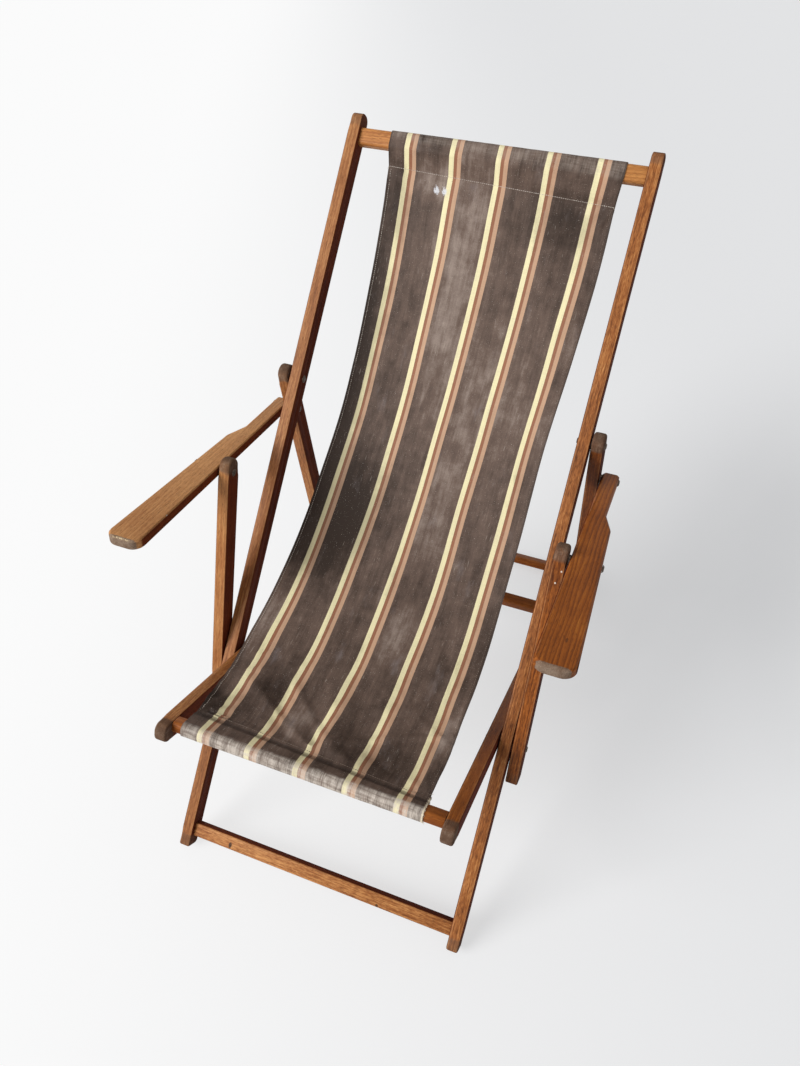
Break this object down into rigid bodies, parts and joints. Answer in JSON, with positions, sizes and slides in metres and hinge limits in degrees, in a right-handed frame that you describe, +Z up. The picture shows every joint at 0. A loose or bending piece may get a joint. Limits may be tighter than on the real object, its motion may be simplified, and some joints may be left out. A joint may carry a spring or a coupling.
{
  "type": "folding deck chair",
  "caption": "Folding wooden steamer deck chair with armrests and a striped canvas sling.",
  "frame": {"origin": "on the floor, under the centre of the chair's overall box", "axes": "+Z up, -Y toward the front where a sitter's legs go, +X to the right of someone facing the chair"},
  "size_m": [0.7108, 0.9815, 1.0343],
  "materials": {
    "wood": "worn satin varnish",
    "canvas": "faded striped cotton canvas",
    "metal": "dull weathered steel"
  },
  "bodies": {
    "back_frame": {"back_rail_left": "wood", "back_rail_right": "wood", "head_bar": "wood", "foot_stretcher": "wood", "sling": "canvas", "seat_pivot_rivets": "metal", "prop_pivot_rivets": "metal", "pivot_washers": "metal"},
    "seat_frame": {"seat_rail_left": "wood", "seat_rail_right": "wood", "front_bar": "wood", "rear_stretcher": "wood"},
    "prop_frame": {"prop_leg_left": "wood", "prop_leg_right": "wood", "prop_bar": "wood", "arm_rear_rivets": "metal", "arm_rear_washers": "metal"},
    "post_left": {"arm_post_left": "wood", "post_rivet_left": "metal", "arm_post_washer_left": "metal"},
    "post_right": {"arm_post_right": "wood", "post_rivet_right": "metal", "arm_post_washer_right": "metal"},
    "arm_left": {"armrest_left": "wood", "arm_rivet_end_left": "metal"},
    "arm_right": {"armrest_right": "wood", "arm_rivet_end_right": "metal"}
  },
  "joints": [
    {"name": "seat_fold", "type": "hinge", "parent": "back_frame", "child": "seat_frame", "pos_m": [0, -0.24018, 0.28236], "axis": [1, 0, 0], "range_deg": [0, 62], "deforming": ["sling"]},
    {"name": "prop_fold", "type": "hinge", "parent": "back_frame", "child": "prop_frame", "pos_m": [0, 0.09734, 0.672], "axis": [1, 0, 0], "range_deg": [0, 126.01]},
    {"name": "post_fold_left", "type": "hinge", "parent": "back_frame", "child": "post_left", "pos_m": [0, -0.24018, 0.28236], "axis": [1, 0, 0], "range_deg": [-22.04, 0]},
    {"name": "post_fold_right", "type": "hinge", "parent": "back_frame", "child": "post_right", "pos_m": [0, -0.24018, 0.28236], "axis": [1, 0, 0], "range_deg": [-22.04, 0]},
    {"name": "arm_fold_left", "type": "hinge", "parent": "prop_frame", "child": "arm_left", "pos_m": [0, 0.11361, 0.59204], "axis": [1, 0, 0], "range_deg": [-71.25, 0]},
    {"name": "arm_fold_right", "type": "hinge", "parent": "prop_frame", "child": "arm_right", "pos_m": [0, 0.11361, 0.59204], "axis": [1, 0, 0], "range_deg": [-71.25, 0]}
  ],
  "couplings": [
    {"joint": "prop_fold", "follows": "seat_fold", "ratio": 2.0323},
    {"joint": "post_fold_left", "follows": "seat_fold", "ratio": -0.35532},
    {"joint": "post_fold_right", "follows": "seat_fold", "ratio": -0.35532},
    {"joint": "arm_fold_left", "follows": "seat_fold", "ratio": -1.149},
    {"joint": "arm_fold_right", "follows": "seat_fold", "ratio": -1.149}
  ]
}
